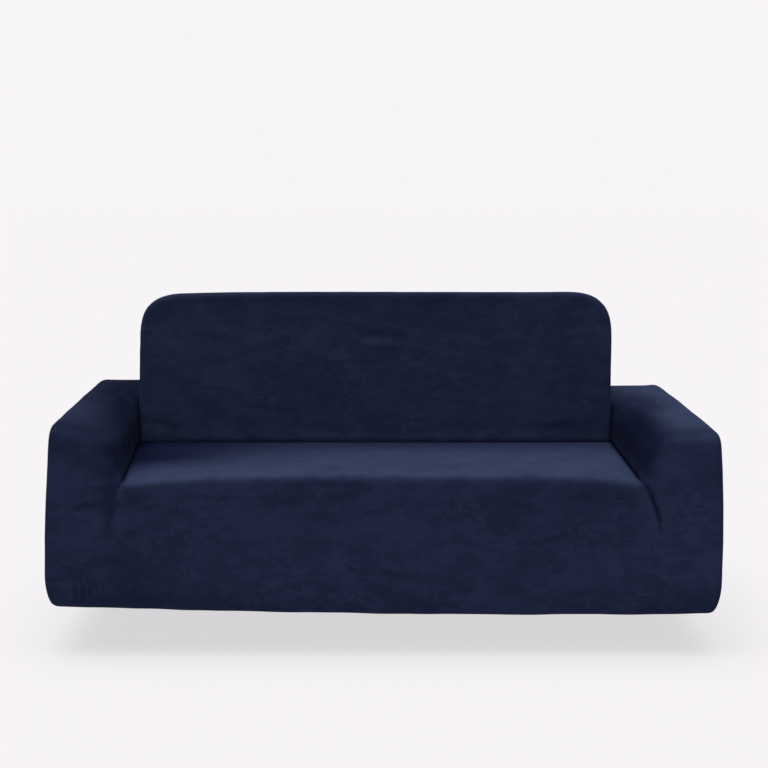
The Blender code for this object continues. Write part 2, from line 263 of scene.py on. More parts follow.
# Pulls in the cloth, each a line of points with its height (less than 0 is a trough) and its half width
PULLS = [
    # Seat front: the long pull below the seat's edge and the short ones beside the left fold
    ([(-0.62, 0, 0.312), (-0.52, 0, 0.316), (-0.40, 0, 0.315), (-0.24, 0, 0.312)], 0.0008, 0.007),
    ([(-0.60, 0, 0.300), (-0.50, 0, 0.303), (-0.36, 0, 0.301), (-0.27, 0, 0.298)], -0.0005, 0.009),
    ([(-0.610, 0, 0.278), (-0.576, 0, 0.272), (-0.545, 0, 0.276)], -0.0022, 0.013),
    ([(-0.645, 0, 0.340), (-0.650, 0, 0.325), (-0.655, 0, 0.306), (-0.656, 0, 0.296)], 0.0016, 0.005),
    ([(-0.652, 0, 0.240), (-0.613, 0, 0.217), (-0.560, 0, 0.205)], 0.0014, 0.009),
    ([(-0.560, 0, 0.213), (-0.490, 0, 0.199), (-0.430, 0, 0.191)], 0.0012, 0.010),
    ([(-0.300, 0, 0.296), (-0.250, 0, 0.289), (-0.190, 0, 0.292)], -0.0012, 0.011),
    ([(0.440, 0, 0.305), (0.520, 0, 0.298), (0.600, 0, 0.303)], -0.0012, 0.010),
    ([(0.470, 0, 0.268), (0.540, 0, 0.262), (0.630, 0, 0.272)], 0.0010, 0.010),
    ([(0.500, 0, 0.245), (0.560, 0, 0.238), (0.640, 0, 0.241)], -0.0009, 0.009),
    ([(-0.10, 0, 0.150), (-0.03, 0, 0.138), (0.06, 0, 0.118), (0.13, 0, 0.112)], 0.0012, 0.012),
    ([(-0.09, 0, 0.128), (0.00, 0, 0.108), (0.09, 0, 0.092)], -0.0012, 0.011),
    # Left arm's front
    ([(-0.782, 0, 0.281), (-0.750, 0, 0.294), (-0.712, 0, 0.301)], 0.0015, 0.007),
    ([(-0.775, 0, 0.268), (-0.745, 0, 0.280), (-0.708, 0, 0.288)], -0.0015, 0.007),
    ([(-0.790, 0, 0.252), (-0.760, 0, 0.258), (-0.725, 0, 0.254)], 0.0012, 0.008),
    ([(-0.800, 0, 0.232), (-0.765, 0, 0.226), (-0.720, 0, 0.232)], -0.0010, 0.009),
    # Right arm's front, fanning out from the fold
    ([(0.687, 0, 0.300), (0.696, 0, 0.326), (0.710, 0, 0.360)], 0.0012, 0.007),
    ([(0.706, 0, 0.296), (0.722, 0, 0.322), (0.748, 0, 0.360)], -0.0014, 0.008),
    ([(0.726, 0, 0.282), (0.747, 0, 0.312), (0.768, 0, 0.344)], 0.0012, 0.007),
    ([(0.742, 0, 0.276), (0.763, 0, 0.308), (0.776, 0, 0.346)], -0.0014, 0.007),
    ([(0.764, 0, 0.270), (0.779, 0, 0.303), (0.787, 0, 0.338)], 0.0010, 0.007),
    ([(0.693, 0, 0.268), (0.715, 0, 0.286), (0.740, 0, 0.296)], -0.0009, 0.008),
    ([(0.700, 0, 0.240), (0.745, 0, 0.246), (0.790, 0, 0.258)], 0.0007, 0.010),
    # Rear of the left arm's top, beside the back
    ([(-0.817, 0.69, 0.484), (-0.796, 0.58, 0.484), (-0.782, 0.49, 0.484)], -0.0016, 0.007),
    ([(-0.800, 0.70, 0.484), (-0.782, 0.60, 0.484), (-0.768, 0.51, 0.484)], 0.0014, 0.006),
    ([(-0.784, 0.69, 0.484), (-0.766, 0.59, 0.484), (-0.748, 0.48, 0.484)], -0.0014, 0.007),
    # Inside back
    ([(-0.085, 0.57, 0.676), (0.00, 0.57, 0.668), (0.085, 0.57, 0.660)], 0.0013, 0.010),
    ([(-0.090, 0.57, 0.655), (-0.02, 0.57, 0.640), (0.075, 0.57, 0.640)], -0.0018, 0.012),
    ([(-0.060, 0.57, 0.622), (0.01, 0.57, 0.617), (0.085, 0.57, 0.612)], 0.0012, 0.010),
    ([(-0.390, 0.57, 0.436), (-0.31, 0.57, 0.428), (-0.23, 0.57, 0.420)], -0.0009, 0.012),
    ([(-0.372, 0.57, 0.452), (-0.30, 0.57, 0.447), (-0.25, 0.57, 0.438)], 0.0007, 0.009),
    ([(-0.655, 0.57, 0.417), (-0.61, 0.57, 0.405), (-0.56, 0.57, 0.391)], 0.0008, 0.010),
    ([(-0.650, 0.57, 0.395), (-0.60, 0.57, 0.385), (-0.55, 0.57, 0.374)], -0.0008, 0.010),
    ([(-0.50, 0.57, 0.505), (-0.44, 0.57, 0.498), (-0.40, 0.57, 0.500)], 0.0010, 0.010),
    ([(0.40, 0.57, 0.390), (0.48, 0.57, 0.398), (0.57, 0.57, 0.420)], 0.0010, 0.010),
    ([(0.42, 0.57, 0.370), (0.51, 0.57, 0.376), (0.60, 0.57, 0.398)], -0.0009, 0.010),
    # Seat
    ([(-0.60, 0.50, 0.345), (-0.30, 0.515, 0.345), (0.00, 0.505, 0.345)], 0.0012, 0.016),
    ([(0.10, 0.49, 0.345), (0.35, 0.505, 0.345), (0.58, 0.49, 0.345)], 0.0012, 0.016),
    ([(-0.45, 0.40, 0.348), (-0.10, 0.415, 0.350), (0.25, 0.39, 0.350)], -0.0012, 0.022),
    ([(0.53, 0.10, 0.345), (0.58, 0.16, 0.345), (0.62, 0.25, 0.343)], 0.0014, 0.014),
    ([(-0.52, 0.10, 0.345), (-0.58, 0.17, 0.345), (-0.63, 0.26, 0.343)], 0.0014, 0.014),
]

PULL_ENDS = 0.7  # power that gives a pull its blunt ends
PULL_REACH = 4  # half widths past which a pull is no longer felt

# The small puckers low on the left arm's front, nearly upright: from (across, up), to (across, up), height
PUCKERS = [
    ((-0.799, 0.036), (-0.796, 0.080), 0.0012),
    ((-0.789, 0.030), (-0.787, 0.084), -0.0015),
    ((-0.779, 0.028), (-0.781, 0.096), 0.0018),
    ((-0.769, 0.026), (-0.766, 0.088), -0.0019),
    ((-0.759, 0.024), (-0.761, 0.104), 0.0021),
    ((-0.750, 0.026), (-0.746, 0.090), -0.0021),
    ((-0.740, 0.024), (-0.742, 0.110), 0.0020),
    ((-0.731, 0.028), (-0.728, 0.084), -0.0018),
    ((-0.721, 0.030), (-0.723, 0.078), 0.0014),
    ((-0.751, 0.092), (-0.755, 0.132), -0.0014),
    ((-0.731, 0.086), (-0.733, 0.124), -0.0014),
    ((-0.771, 0.094), (-0.774, 0.120), -0.0011),
]
PUCKER_DEPTH = 0.002  # how far behind the front's plane their lines lie
PUCKER_HALF_WIDTH = 0.0043
PUCKER_PAINTED_SHADE = 170.0  # painted shade in the puckers' troughs and painted light on their ridges, for each metre of height


def spaced(line):
    """The cage's line with more stops, none further apart than a cell of the cloth's net."""
    stops = [line[0]]
    for start, end in zip(line, line[1:]):
        count = math.ceil(round((end - start) / LONGEST_CELL, 6))
        stops += [start + (end - start) * k / count for k in range(1, count)] + [end]
    return stops


def between_arms(x):
    return INNER["left"] < x < INNER["right"]


def filled(x, y, z):
    """Whether the sofa fills this point of the cage."""
    if z < SEAT:
        return True
    if z < ARM_TOP:
        return not between_arms(x) or y > BACK_FRONT
    return between_arms(x) and y > BACK_FRONT


def in_rear_border(x, z):
    """Whether a point of the rear lies in the border that the other panels carry round from their side."""
    top = BACK_TOP - BACK_EDGE if between_arms(x) else ARM_TOP - ARM_EDGE
    back_sides = not INNER["left"] + BACK_EDGE < x < INNER["right"] - BACK_EDGE
    return abs(x) > HALF_WIDTH - SEAM_IN or z > top or (z > ARM_TOP and back_sides)


def panel_of(x, y, z, facing):
    """The panel that covers the cage's face of the cell round this point, on the side that it faces."""
    if facing == "rear" and not in_rear_border(x, z):
        return OUTSIDE_BACK
    if facing == "below" and y > DEPTH - HEM_TURN and abs(x) < HALF_WIDTH - SEAM_IN:
        return OUTSIDE_BACK
    if not between_arms(x):
        return LEFT_ARM if x < 0 else RIGHT_ARM
    return INSIDE_BACK if z > SEAT else SEAT_FRONT


def share(value, start, end):
    """How far a value has come from start to end, from 0 to 1."""
    return np.clip((value - start) / (end - start), 0, 1)


def arm_rounding(x, y, z, side, out):
    """An arm's inner edges are drawn in to a fuller round, and its top dips inwards and falls to the rear."""
    at_top = share(z, ARM_TOP - ARM_EDGE, ARM_TOP)
    at_inner = share(out * x, out * INNER[side] + ARM_EDGE, out * INNER[side])
    at_outer = share(out * x, HALF_WIDTH - SEAM_IN, HALF_WIDTH)
    at_inner *= share(y, BACK_FRONT, BACK_FRONT - TUCK)
    at_front = share(y, HEM_TURN, 0) * at_inner * share(z, SEAT, SEAT + TUCK)
    full = ARM_FULL[side] * at_outer * share(y, 0, BACK_FRONT)
    across = ARM_ROUND * max(at_inner * at_top, at_front) + full * at_top
    dip = ARM_DIP[side] * share(out * x, HALF_WIDTH - SEAM_IN, out * INNER[side] + ARM_EDGE)
    dip *= share(y, BACK_FRONT, BACK_FRONT - TUCK)
    dip += ARM_FALL[side] * share(y, ARM_FALL_FROM, DEPTH)
    rise = full - ARM_ROUND * at_inner - dip
    return Vector((out * across, ARM_ROUND * at_front, rise * at_top))


def arm_shift(x, y, z, side, out):
    """The arm leans in outside as it rises and is splayed inside, and the left arm stands higher."""
    inner = INNER[side]
    to_outside = (x - inner) / (out * HALF_WIDTH - inner)
    lean, power = ARM_LEAN[side]
    up_inner_side = share(z, SEAT, ARM_TOP)
    splay = -up_inner_side * INNER_TOP_IN[side] - (1 - up_inner_side) * INNER_SEAT_IN[side]
    splay += FOLD_RUN[side] * share(z, SEAT, SEAT - SEAT_ROLL)
    across = (1 - to_outside) * share(y, BACK_FRONT, 0) * splay
    across -= to_outside * lean * (z / ARM_TOP) ** power
    rise = LEFT_ARM_RISE * up_inner_side if side == "left" else 0
    return Vector((out * across, 0, rise)) + arm_rounding(x, y, z, side, out)


def seat_shift(x, y, z, side, out):
    """The seat narrows to the front with the folds at its ends, and is crowned there."""
    to_end = x / INNER[side]
    to_front = share(y, BACK_FRONT, 0)
    splay = FOLD_RUN[side] * share(z, SEAT, SEAT - SEAT_ROLL) - INNER_SEAT_IN[side]
    crown = 0
    if y < BACK_FRONT:
        crown = SEAT_CROWN * (1 - to_end ** CROWN_POWER[side]) * to_front * z / SEAT
    return Vector((out * to_end * to_front * splay, 0, crown))


def corner_shift(x, z, side, out):
    """Draws the square upper corner of the back in to an arc, and the lines inside it with it."""
    across = share(out * x, out * INNER[side] - BACK_CORNER, out * INNER[side])
    up = share(z, BACK_TOP - BACK_CORNER, BACK_TOP)
    return BACK_CORNER * CORNER_ROUND[side] * Vector(
        (out * across * (np.sqrt(1 - up**2 / 2) - 1), 0, up * (np.sqrt(1 - across**2 / 2) - 1))
    )


def back_shift(x, y, z, side, out):
    """The back has round corners, leaning sides, a top that falls to the rear and a low left shoulder."""
    height = share(z, ARM_TOP, BACK_TOP)
    to_side = x / INNER[side]
    fall = BACK_FALL * height * share(y, BACK_FRONT + BACK_EDGE, DEPTH)
    if side == "left":
        fall += SHOULDER_DROP * height * to_side**SHOULDER_POWER
        fall -= LEFT_ARM_RISE * (1 - height) * share(z, SEAT, ARM_TOP) * to_side
    taper = BACK_TAPER[side] * height * to_side
    return corner_shift(x, z, side, out) - Vector((out * taper, 0, fall))


def hem_shift(x, y, z):
    """The hem climbs to the left, sags a little right of the middle and is drawn in under the sofa."""
    shift = Vector((0, 0, 0))
    if x < 0:
        shift.z = HEM_RISE * (-x / HALF_WIDTH) ** HEM_RISE_POWER * share(z, SEAT, 0)
    shift.z -= HEM_SAG * share(x, *HEM_SAG_LEFT) * share(x, *HEM_SAG_RIGHT) * share(z, SEAT, 0)
    if z == 0:
        shift.x = -HEM_DRAW * (x / HALF_WIDTH) ** HEM_DRAW_POWER
        shift.y = HEM_DRAW * (1 - 2 * y / DEPTH)
    return shift


def bow(x, y, z):
    """How far the front and the rear stand proud of their planes, and the folds in the front lie back."""
    across = 1 - (x / HALF_WIDTH) ** 2
    depth = 0
    if y == 0 and z <= SEAT:
        depth = -BOW * across * np.sin(np.pi * z / SEAT)
        for side, inner in INNER.items():
            if x == inner:
                depth += FOLD_DEPTH[side] * share(z, FOLD_END, SEAT - SEAT_ROLL)
    elif y == DEPTH:
        depth = BOW * across * np.sin(np.pi * z / BACK_TOP)
    return depth


def shaped(x, y, z):
    """Moves a crossing of the cage's straight lines to its place on the soft, uneven form."""
    side, out = ("left", -1) if x < 0 else ("right", 1)
    place = Vector((x, y + bow(x, y, z), z)) + hem_shift(x, y, z)
    place.z -= SEAT_FALL * share(y, 0, BACK_FRONT) * min(z / SEAT, share(z, ARM_TOP, SEAT))
    if not between_arms(x) and z <= ARM_TOP:
        place += arm_shift(x, y, z, side, out)
    elif z <= SEAT:
        place += seat_shift(x, y, z, side, out)
    else:
        place += back_shift(x, y, z, side, out)
    return place


def cage():
    """The form's outer faces on the cage's lines, open below but for the hem, its inner corners creased."""
    lines = (spaced(ACROSS), spaced(INWARDS), spaced(UPWARDS))
    middles = [(np.array(line[1:]) + line[:-1]) / 2 for line in lines]
    counts = tuple(len(middle) for middle in middles)
    bm = bmesh.new()
    points = {}

    def point(index):
        if index not in points:
            points[index] = bm.verts.new(shaped(*(line[i] for line, i in zip(lines, index))))
        return points[index]

    def is_filled(cell):
        inside = all(0 <= i < count for i, count in zip(cell, counts))
        return inside and filled(*(middle[i] for middle, i in zip(middles, cell)))

    for cell in filter(is_filled, np.ndindex(*counts)):
        in_hem = cell[0] in (0, counts[0] - 1) or cell[1] in (0, counts[1] - 1)
        for facing, (axis, step, corners) in FACINGS.items():
            beyond = list(cell)
            beyond[axis] += step
            if is_filled(beyond) or (facing == "below" and not in_hem):
                continue
            face = bm.faces.new(point(tuple(map(sum, zip(cell, corner)))) for corner in corners)
            face.material_index = panel_of(*(middle[i] for middle, i in zip(middles, cell)), facing)

    bm.normal_update()
    crease = bm.edges.layers.float.new("crease_edge")
    for edge in bm.edges:
        if len(edge.link_faces) == 2 and edge.calc_face_angle_signed() < -CREASED:
            edge[crease] = 1.0
    mesh = bpy.data.meshes.new("cage")
    bm.to_mesh(mesh)
    bm.free()
    return mesh


def smooth_form():
    """The cage smoothed to the cloth's right side, each face keeping its panel's number."""
    obj = bpy.data.objects.new("form", cage())
    bpy.context.scene.collection.objects.link(obj)
    for _ in PANELS:
        obj.data.materials.append(None)
    smoothing = obj.modifiers.new("Smooth", "SUBSURF")
    smoothing.levels = SMOOTHINGS
    smoothing.render_levels = SMOOTHINGS
    graph = bpy.context.evaluated_depsgraph_get()
    mesh = bpy.data.meshes.new_from_object(obj.evaluated_get(graph))
    bpy.data.objects.remove(obj)
    return mesh


class Form:
    """The cloth's right side as arrays: points, four-sided faces, each face's panel, and normals."""

    def __init__(self, mesh):
        self.points = np.empty(len(mesh.vertices) * 3)
        mesh.vertices.foreach_get("co", self.points)
        self.points = self.points.reshape(-1, 3)
        self.faces = np.empty(len(mesh.polygons) * 4, np.int32)
        mesh.polygons.foreach_get("vertices", self.faces)
        self.faces = self.faces.reshape(-1, 4)
        self.panels = np.empty(len(mesh.polygons), np.int32)
        mesh.polygons.foreach_get("material_index", self.panels)
        self.measure()

    def measure(self):
        """Each point's normal, and its alignment: how nearly the faces round it share that, up to 1."""
        places = self.points[self.faces]
        crossed = np.cross(places[:, 2] - places[:, 0], places[:, 3] - places[:, 1])
        face_normals = crossed / np.linalg.norm(crossed, axis=1)[:, None]
        normals = np.zeros_like(self.points)
        for corner in range(4):
            before = places[:, corner - 1] - places[:, corner]
            after = places[:, (corner + 1) % 4] - places[:, corner]
            cosine = (before * after).sum(1) / np.linalg.norm(before, axis=1)
            angle = np.arccos(np.clip(cosine / np.linalg.norm(after, axis=1), -1, 1))
            np.add.at(normals, self.faces[:, corner], face_normals * angle[:, None])
        self.normals = normals / np.linalg.norm(normals, axis=1)[:, None]
        alignment = np.zeros(len(normals))
        count = np.zeros(len(normals))
        for corner in range(4):
            index = self.faces[:, corner]
            np.add.at(alignment, index, (self.normals[index] * face_normals).sum(1))
            np.add.at(count, index, 1)
        self.alignment = np.maximum(alignment / count, LEAST_ALIGNMENT)

    def seam_edges(self):
        """The edges where two panels meet, as pairs of points with the lower of the panels' numbers."""
        edges = {}
        for face, panel in zip(self.faces.tolist(), self.panels.tolist()):
            for a, b in zip(face, face[1:] + face[:1]):
                edges.setdefault((min(a, b), max(a, b)), []).append(panel)
        return [
            (a, b, min(panels))
            for (a, b), panels in edges.items()
            if len(panels) == 2 and panels[0] != panels[1]
        ]


def seam_samples(form):
    """Points close together along the seams, each with how far its seam is tucked in, from 0 to 1."""
    samples = []
    for a, b, panel in form.seam_edges():
        start, end = form.points[a], form.points[b]
        height = (start[2] + end[2]) / 2
        tucked = 0.0
        if height > TUCKS_ABOVE and panel == SEAT_FRONT:
            tucked = share(height, *FRONT_TUCK)
        elif height > TUCKS_ABOVE:
            bend = (form.alignment[a] + form.alignment[b]) / 2
            tucked = share(bend, *TUCK_BEND) * share(height, ARM_TOP, ARM_TOP - TUCK_FADES)
        count = max(1, round(np.linalg.norm(end - start) / SEAM_STEP))
        for k in range(count + 1):
            samples.append((*(start + (end - start) * k / count), tucked))
    return np.array(samples)


def sink_into_tucks(form):
    """Pushes the cloth in along its tucked lines.

    Returns how far each point is from a seam, and how much painted shade of a tuck it takes, from 0 to 1.
    """
    samples = seam_samples(form)
    tree = kdtree.KDTree(len(samples))
    for index, sample in enumerate(samples):
        tree.insert(sample[:3], index)
    tree.balance()
    found = [tree.find(point) for point in form.points]
    tucked = samples[[index for _, index, _ in found], 3]
    distance = np.maximum(np.array([away for _, _, away in found]) - SEAM_WIDTH, 0)

    at_rear = share(form.points[:, 1], *REAR_FROM)
    faces_up = np.clip(form.normals[:, 2], 0, 1)
    faces_forward = np.clip(-form.normals[:, 1], 0, 1)
    sunk = TUCK_DEPTH * tucked * np.exp(-distance / TUCK_LIP)
    sunk *= 1 - at_rear * (REAR_SEAT_HELD * faces_up + REAR_BACK_HELD * faces_forward)
    # painted shade along the tucks, deeper along the seat's rear
    shade = TUCK_PAINTED_SHADE * tucked * np.exp(-distance / TUCK_SHADE) * (1 + REAR_MORE_PAINTED_SHADE * at_rear)
    form.points -= form.normals * (sunk / form.alignment)[:, None]
    form.measure()
    return np.where(form.points[:, 1] < FRONT_DEPTH, NO_SEAM, distance), shade


def along(points, path):
    """Each point's distance from a line of points, and how far along the line its nearest spot is, 0 to 1."""
    path = np.array(path, float)
    lengths = np.linalg.norm(np.diff(path, axis=0), axis=1)
    travelled = np.concatenate([[0], np.cumsum(lengths)]) / lengths.sum()
    nearest = np.full(len(points), np.inf)
    place = np.zeros(len(points))
    for i, length in enumerate(lengths):
        step = (path[i + 1] - path[i]) / length
        reached = np.clip((points - path[i]) @ step, 0, length)
        away = np.linalg.norm(points - path[i] - reached[:, None] * step, axis=1)
        closer = away < nearest
        nearest[closer] = away[closer]
        place[closer] = travelled[i] + (travelled[i + 1] - travelled[i]) * reached[closer] / length
    return nearest, place


def pull(points, path, half_width):
    """How far each point is in one pull, from 0 to 1: it swells at its middle and dies away at its ends."""
    low = np.min(path, axis=0) - PULL_REACH * half_width
    high = np.max(path, axis=0) + PULL_REACH * half_width
    inside = np.all((points > low) & (points < high), axis=1)
    within = np.zeros(len(points))
    away, place = along(points[inside], path)
    within[inside] = np.exp(-((away / half_width) ** 2)) * np.sin(np.pi * place) ** PULL_ENDS
    return within


def puckered(points):
    """How high the small puckers stand that the hem's stitching draws up low on the left arm's front."""
    rise = np.zeros(len(points))
    for start, end, height in PUCKERS:
        path = [(x, PUCKER_DEPTH, z) for x, z in (start, end)]
        rise += height * pull(points, path, PUCKER_HALF_WIDTH)
    return rise


def waves(points, height, seed, count, longest, shortest):
    """Soft unevenness of about this height: waves of random direction and of a length between the two."""
    rng = np.random.default_rng(seed)
    total = np.zeros(len(points))
    for _ in range(count):
        direction = rng.normal(size=3) * WAVE_LEAN
        length = np.exp(rng.uniform(np.log(shortest), np.log(longest)))
        direction *= 2 * np.pi / (length * np.linalg.norm(direction))
        total += np.sin(points @ direction + rng.uniform(0, 2 * np.pi))
    return height * total / np.sqrt(count)


def rumple(form, from_seam, shade):
    """Raises and sinks the cloth by its unevenness, folds, pulls and puckers, and gives the folds and the
    puckers' troughs painted shade and the puckers' ridges painted light.
    """
    points = form.points.copy()
    rise = (waves(points, *SWELLS) + waves(points, *RIPPLES)) * share(from_seam, 0, CALM_BY_SEAM)
    for path, height, half_width in PULLS:
        rise += height * pull(points, path, half_width)
    for path, depth, half_width, dark in FRONT_FOLDS:
        within = pull(points * (1, FOLD_REACH, 1), path, half_width)
        rise -= depth * within
        # painted shade in the fold
        shade = np.maximum(shade, dark * within)
    puckers = puckered(points)
    rise += puckers
    # painted shade in the puckers' troughs and painted light on their ridges
    shade = shade - PUCKER_PAINTED_SHADE * puckers
    form.points += form.normals * rise[:, None]
    in_hem = np.exp(-np.maximum(points[:, 2] - HEM_WAVES_BELOW, 0) / HEM_WAVES_FADE)
    form.points[:, 2] += in_hem * waves(points * (1, 1, 0), *HEM_WAVES)
    form.measure()
    return shade


def painted_shade(form, shade):
    """How much painted shade each point takes, 0 to 1: from the tucks, folds and puckers and in soft patches,
    less where painted light lies.
    """
    lit = PAINTED_LIGHT_LEVEL * (1 - shade)
    for middle, reach, facing, depth in PAINTED_SHADE_PATCHES:
        away = (((form.points - middle) / reach) ** 2).sum(1)
        lit *= 1 - depth * np.exp(-away) * np.clip(form.normals @ facing, 0, 1)
    return np.clip(1 - lit, 0, 1)


def mark_sharp(mesh, rim):
    """Keeps the shading sharp along both edges of the cut rim."""
    rim_edges = {frozenset(pair) for face in rim for pair in (face[:2], face[2:])}
    ends = np.empty(len(mesh.edges) * 2, np.int32)
    mesh.edges.foreach_get("vertices", ends)
    flags = np.array([frozenset(pair) in rim_edges for pair in ends.reshape(-1, 2).tolist()])
    sharp = mesh.attributes.new("sharp_edge", "BOOLEAN", "EDGE")
    sharp.data.foreach_set("value", flags)


def sheet_of(name, form, panel, pattern, origin):
    """One panel as a closed sheet: its right side, its wrong side and the cut edge between them."""
    used, faces = np.unique(form.faces[form.panels == panel], return_inverse=True)
    faces = faces.reshape(-1, 4)
    right = form.points[used] - origin
    step = form.normals[used] / np.maximum(form.alignment[used], MITRE)[:, None]
    wrong = right - THICKNESS * step
    count = len(used)

    pairs = np.concatenate([faces[:, [i, (i + 1) % 4]] for i in range(4)]).tolist()
    edges = {(a, b) for a, b in pairs}
    rim = [(b, a, a + count, b + count) for a, b in pairs if (b, a) not in edges]
    quads = np.concatenate([faces, faces[:, ::-1] + count, np.array(rim)])

    mesh = bpy.data.meshes.new(name)
    mesh.from_pydata(np.concatenate([right, wrong]).tolist(), [], quads.tolist())
    slots = np.zeros(len(quads), np.int32)
    slots[len(faces) : 2 * len(faces)] = 1
    mesh.polygons.foreach_set("material_index", slots)
    mesh.shade_smooth()
    mark_sharp(mesh, rim)
    for kind, values in pattern.items():
        layer = mesh.attributes.new(kind, "FLOAT", "POINT")
        layer.data.foreach_set("value", np.tile(values[used], 2).astype(np.float32))
    obj = bpy.data.objects.new(name, mesh)
    bpy.context.scene.collection.objects.link(obj)
    return obj


class Value:
    """A number that a node gives, which can be added, multiplied and compared."""

    def __init__(self, nodes, socket):
        self.nodes = nodes
        self.socket = socket

    def maths(self, operation, other):
        made = self.nodes.node("ShaderNodeMath", {"operation": operation}, [self, other])
        return Value(self.nodes, made.outputs[0])

    def __add__(self, other):
        return self.maths("ADD", other)

    def __sub__(self, other):
        return self.maths("SUBTRACT", other)

    def __rsub__(self, other):
        return self * -1 + other

    def __mul__(self, other):
        return self.maths("MULTIPLY", other)

    def __pow__(self, other):
        return self.maths("POWER", other)


class Nodes:
    """A tree of nodes under construction."""

    def __init__(self, tree):
        self.tree = tree

    def connect(self, value, socket):
        """Gives a socket its value: linked where a node gives it, and set where it is plain."""
        if isinstance(value, Value):
            value = value.socket
        if isinstance(value, bpy.types.NodeSocket):
            self.tree.links.new(value, socket)
        else:
            socket.default_value = value

    def node(self, kind, settings=None, inputs=()):
        """A node of this kind, with its settings made first and then its inputs, by number or by name."""
        made = self.tree.nodes.new(kind)
        for key, value in (settings or {}).items():
            setattr(made, key, value)
        named = inputs.items() if isinstance(inputs, dict) else enumerate(inputs)
        for key, value in named:
            self.connect(value, made.inputs[key])
        return made

    def blend(self, factor, first, second):
        """One colour laid over another by a share."""
        made = self.node("ShaderNodeMix", {"data_type": "RGBA"}, {0: factor, 6: first, 7: second})
        return made.outputs[2]


class Finish(Nodes):
    """A material under construction: its nodes, its shader and what a maker does with them."""

    def __init__(self, name):
        self.material = bpy.data.materials.new(name)
        self.material.use_nodes = True
        super().__init__(self.material.node_tree)
        self.shader = self.tree.nodes["Principled BSDF"]

    def place(self, scale=(1, 1, 1)):
        """The spot on the piece, stretched for a pattern."""
        spot = self.node("ShaderNodeTexCoord").outputs["Object"]
        return self.node("ShaderNodeMapping", {}, {"Vector": spot, "Scale": scale}).outputs[0]

    def noise(self, place, scale, detail=1.0, roughness=0.5, distortion=0.0):
        settings = {"Vector": place, "Scale": scale, "Detail": detail}
        settings |= {"Roughness": roughness, "Distortion": distortion}
        return Value(self, self.node("ShaderNodeTexNoise", {}, settings).outputs[0])

    def ramp(self, value, low, high, to_low=0.0, to_high=1.0):
        """The value brought from the range low to high into another, with soft ends."""
        settings = {"interpolation_type": "SMOOTHSTEP"}
        inputs = [value, low, high, to_low, to_high]
        return Value(self, self.node("ShaderNodeMapRange", settings, inputs).outputs[0])

    def attribute(self, name):
        return Value(self, self.node("ShaderNodeAttribute", {"attribute_name": name}).outputs["Fac"])

    def bump(self, height, depth, strength, over=None):
        """A relief of the given depth in metres, laid over another relief."""
        made = self.node("ShaderNodeBump", {}, {"Strength": strength, "Distance": depth, "Height": height})
        if over is not None:
            self.connect(over, made.inputs["Normal"])
        return made.outputs[0]

    def set(self, **sockets):
        for name, value in sockets.items():
            self.connect(value, self.shader.inputs[name.replace("_", " ")])


def colour(red, green, blue):
    return (red, green, blue, 1.0)


NAVY_CRUSHED = colour(0.0151, 0.0224, 0.0580)
NAVY_RAISED = colour(0.0230, 0.0333, 0.0812)
PILE_TIPS = colour(0.0314, 0.0450, 0.1056)
# the colour that painted shade draws the navy towards
PAINTED_SHADE_NAVY = colour(0.0000, 0.0008, 0.0108)
SEAM_SHADE = colour(0.0142, 0.0200, 0.0509)
SHEEN = colour(0.55, 0.65, 0.95)
KNIT_DARK = colour(0.016, 0.022, 0.050)
KNIT_PALE = colour(0.030, 0.038, 0.076)
SEAM_SHADED = 0.0016  # how far from a seam its shade and its groove reach
EVEN_NAP = 0.57  # the nap of cloth that is stretched flat, and how nearly the level cloth comes to it
EVENED = 0.55
STREAK_RELIEF = 0.0007
PILE_RELIEF = 0.0004
SEAM_RELIEF = 0.0005


def velvet_nap(finish, streaks, flecks):
    """How far the pile is raised, 0 to 1: cloudy patches, fine level streaks, flecks and crushed dabs."""
    clouds = finish.noise(finish.place((1.0, 1.0, 1.2)), 6.5, detail=4.0, roughness=0.60, distortion=0.6)
    dabs = finish.noise(finish.place((0.8, 0.5, 1.6)), 30.0, detail=1.5, distortion=1.2)
    groups = finish.noise(finish.place(), 8.0)
    laid = finish.ramp(clouds, 0.32, 0.70)
    crushed = finish.ramp(dabs, 0.47, 0.62) * finish.ramp(groups, 0.36, 0.58)
    nap = laid * 0.40 + streaks * 0.30 + flecks * 0.30 + 0.11 - crushed * 0.29
    return nap + (EVEN_NAP - nap) * finish.attribute("stretched_flat") * EVENED


def crushed_velvet():
    """Navy stretch velvet with a short pile, with painted shade in its tucks and soft patches of painted
    shade and painted light.
    """
    finish = Finish("crushed_velvet")
    streaks = finish.noise(finish.place((0.75, 0.4, 1.25)), 30.0, detail=3.0, roughness=0.55, distortion=0.6)
    streaks = finish.ramp(streaks, 0.34, 0.68)
    flecks = finish.noise(finish.place((0.75, 0.5, 1.20)), 95.0, detail=2.0, roughness=0.6, distortion=0.2)
    pile = finish.noise(finish.place(), 950.0)
    nap = velvet_nap(finish, streaks, flecks)
    off_seam = finish.ramp(finish.attribute("from_seam"), 0.0, SEAM_SHADED)

    shade = finish.blend(finish.ramp(nap, 0.22, 0.88), NAVY_CRUSHED, NAVY_RAISED)
    shade = finish.blend(finish.ramp(pile, 0.35, 0.75, 0.0, 0.20), shade, PILE_TIPS)
    shade = finish.blend(off_seam, SEAM_SHADE, shade)
    # painted shade and painted light from the tucks, folds, puckers and soft patches
    shade = finish.blend(finish.attribute("painted_shade"), shade, PAINTED_SHADE_NAVY)

    relief = finish.bump(streaks * 0.5 + flecks * 0.5, STREAK_RELIEF, strength=0.35)
    relief = finish.bump(pile, PILE_RELIEF, strength=0.35, over=relief)
    relief = finish.bump(off_seam, SEAM_RELIEF, strength=0.8, over=relief)
    finish.set(
        Base_Color=shade,
        Roughness=finish.ramp(nap, 0.2, 0.9, 0.82, 0.66),
        Specular_IOR_Level=0.03,
        Sheen_Weight=0.004,
        Sheen_Roughness=0.50,
        Sheen_Tint=SHEEN,
        Normal=relief,
    )
    return finish.material


